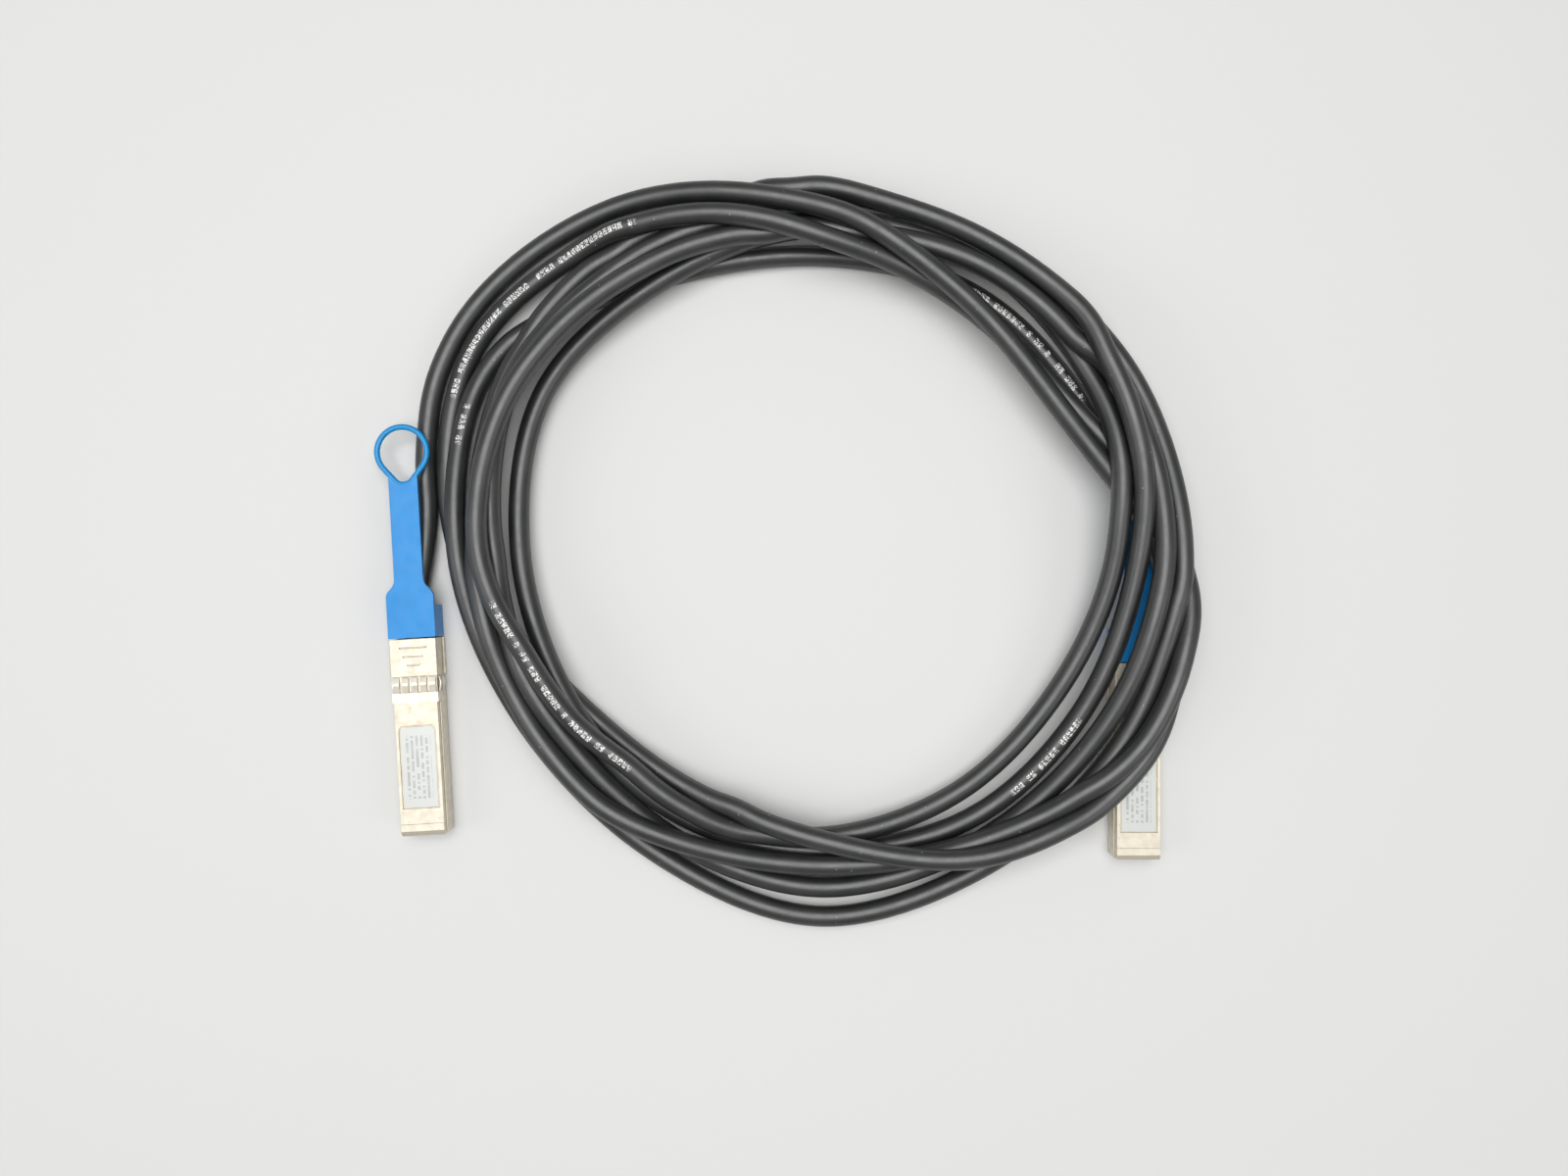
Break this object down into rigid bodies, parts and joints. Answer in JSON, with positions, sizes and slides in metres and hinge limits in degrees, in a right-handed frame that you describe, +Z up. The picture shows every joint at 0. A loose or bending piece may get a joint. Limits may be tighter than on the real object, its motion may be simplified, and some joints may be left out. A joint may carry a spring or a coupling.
{
  "type": "direct attach copper cable",
  "caption": "Direct attach copper cable: two metal plug-in connectors with blue pull rings on one long black cable, lying in a loose coil.",
  "frame": {"origin": "on the ground, at the middle of the box round the two connectors", "axes": "+Z up; +X from the left connector to the right one; +Y along the right-hand connector, from its mouth towards its pull ring"},
  "size_m": [0.2431, 0.2232, 0.0244],
  "materials": {
    "plated_casting": "satin nickel plate on a zinc die casting",
    "spring_steel": "satin stamped spring steel",
    "screw_steel": "plated steel",
    "blue_tab": "satin to glossy blue moulding",
    "label_film": "pale silvery printed film",
    "card_laminate": "green solder mask",
    "gold_contact": "gold flash",
    "chip_body": "matt black moulding compound",
    "wire_insulation": "pale foil and film wrap",
    "crimp_metal": "crimped sleeve",
    "cable_jacket": "matt black PVC jacket with a soft grey sheen"
  },
  "bodies": {
    "cable_and_housings": {"left_housing_base": "plated_casting", "left_housing_cover": "plated_casting", "left_shielding_collar": "spring_steel", "left_return_spring": "spring_steel", "left_label": "label_film", "left_contact_card": "card_laminate", "left_contact_pads": "gold_contact", "left_memory_chip": "chip_body", "left_wire_pairs": "wire_insulation", "left_crimp_ferrule": "crimp_metal", "right_housing_base": "plated_casting", "right_housing_cover": "plated_casting", "right_shielding_collar": "spring_steel", "right_return_spring": "spring_steel", "right_label": "label_film", "right_contact_card": "card_laminate", "right_contact_pads": "gold_contact", "right_memory_chip": "chip_body", "right_wire_pairs": "wire_insulation", "right_crimp_ferrule": "crimp_metal", "cover_screws": "screw_steel", "cable_coil": "cable_jacket", "left_cable_lead": "cable_jacket", "right_cable_lead": "cable_jacket"},
    "left_release": {"left_latch_slider": "spring_steel", "left_pull_tab": "blue_tab"},
    "right_release": {"right_latch_slider": "spring_steel", "right_pull_tab": "blue_tab"}
  },
  "joints": [
    {"name": "left_release_slide", "type": "slide", "parent": "cable_and_housings", "child": "left_release", "axis": [-0.0576, 0.9983, 0], "range_m": [0, 0.0025], "stiffness_N_per_m": 600, "deforming": ["left_return_spring"]},
    {"name": "right_release_slide", "type": "slide", "parent": "cable_and_housings", "child": "right_release", "axis": [0, 1, 0], "range_m": [0, 0.0025], "stiffness_N_per_m": 600, "deforming": ["right_return_spring"]}
  ]
}
